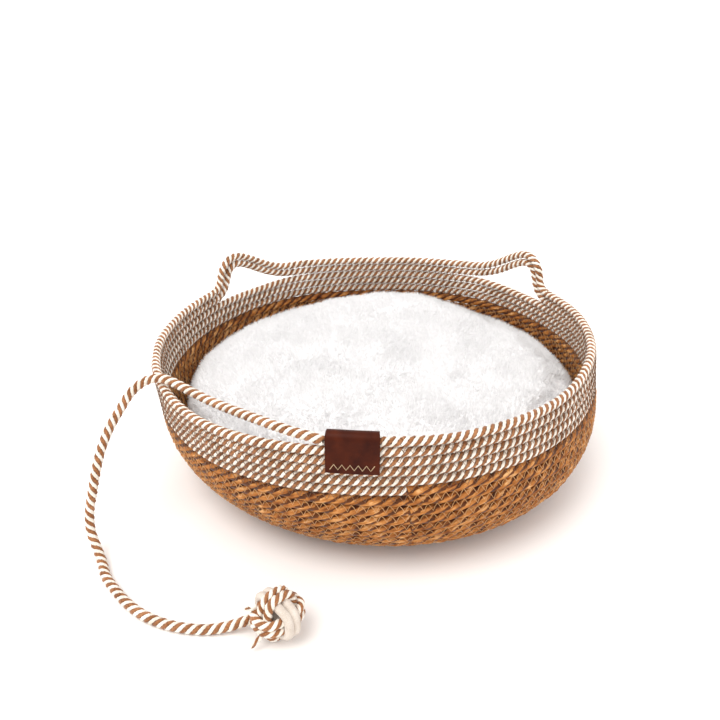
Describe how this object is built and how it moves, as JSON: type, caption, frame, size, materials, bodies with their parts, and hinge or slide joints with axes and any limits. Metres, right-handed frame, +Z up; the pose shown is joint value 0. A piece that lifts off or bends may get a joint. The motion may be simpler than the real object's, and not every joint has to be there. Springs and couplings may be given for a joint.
{
  "type": "coiled rope pet bed",
  "caption": "Round pet bed sewn from a coil of cotton and water hyacinth rope, with two ear loops, a leather tag, a rope toy with a ball knot and a loose round plush cushion.",
  "frame": {"origin": "on the floor, under the middle of the basket's overall length and width", "axes": "+Z up; -Y is the front, where the leather tag is; +X is the right-hand side seen from the front"},
  "size_m": [0.4656, 0.5256, 0.1792],
  "materials": {
    "cotton_rope": "matt twisted cotton",
    "hyacinth_rope": "dry twisted plant stems, satin",
    "sewing_thread": "matt thread",
    "leather": "smooth, satin",
    "tag_thread": "matt thread",
    "cream_cord": "matt twisted cotton",
    "plush": "long soft pile",
    "lining": "plain weave",
    "filling": "soft fibre",
    "cushion_thread": "matt thread"
  },
  "bodies": {
    "basket": {"base_coil": "hyacinth_rope", "hyacinth_row_1": "hyacinth_rope", "hyacinth_row_2": "hyacinth_rope", "hyacinth_row_3": "hyacinth_rope", "hyacinth_row_4": "hyacinth_rope", "hyacinth_row_5": "hyacinth_rope", "hyacinth_row_6": "hyacinth_rope", "hyacinth_row_7": "hyacinth_rope", "hyacinth_row_8": "hyacinth_rope", "hyacinth_row_9": "hyacinth_rope", "hyacinth_row_10": "hyacinth_rope", "hyacinth_row_11": "hyacinth_rope", "hyacinth_row_12": "hyacinth_rope", "hyacinth_row_13": "hyacinth_rope", "hyacinth_row_14": "hyacinth_rope", "cotton_row_1": "cotton_rope", "cotton_row_2": "cotton_rope", "cotton_row_3": "cotton_rope", "cotton_row_4": "cotton_rope", "cotton_row_5": "cotton_rope", "rim_end": "cotton_rope", "ear_left": "cotton_rope", "ear_right": "cotton_rope", "hyacinth_thread": "sewing_thread", "cotton_thread": "sewing_thread", "leather_tag": "leather", "tag_stitches": "tag_thread", "toy_rope": "cotton_rope", "knot_core": "cream_cord", "knot_wrap_1": "cotton_rope", "knot_wrap_2": "cotton_rope", "knot_cream_wrap": "cream_cord", "knot_end_curl": "cotton_rope", "knot_end_point": "cotton_rope"},
    "cushion": {"cushion_top": "plush", "cushion_bottom": "lining", "cushion_filling": "filling", "cushion_seam": "cushion_thread"}
  },
  "joints": [
    {"name": "cushion_lift", "type": "slide", "parent": "basket", "child": "cushion", "axis": [0, 0, 1], "range_m": [0, 0.03]}
  ]
}
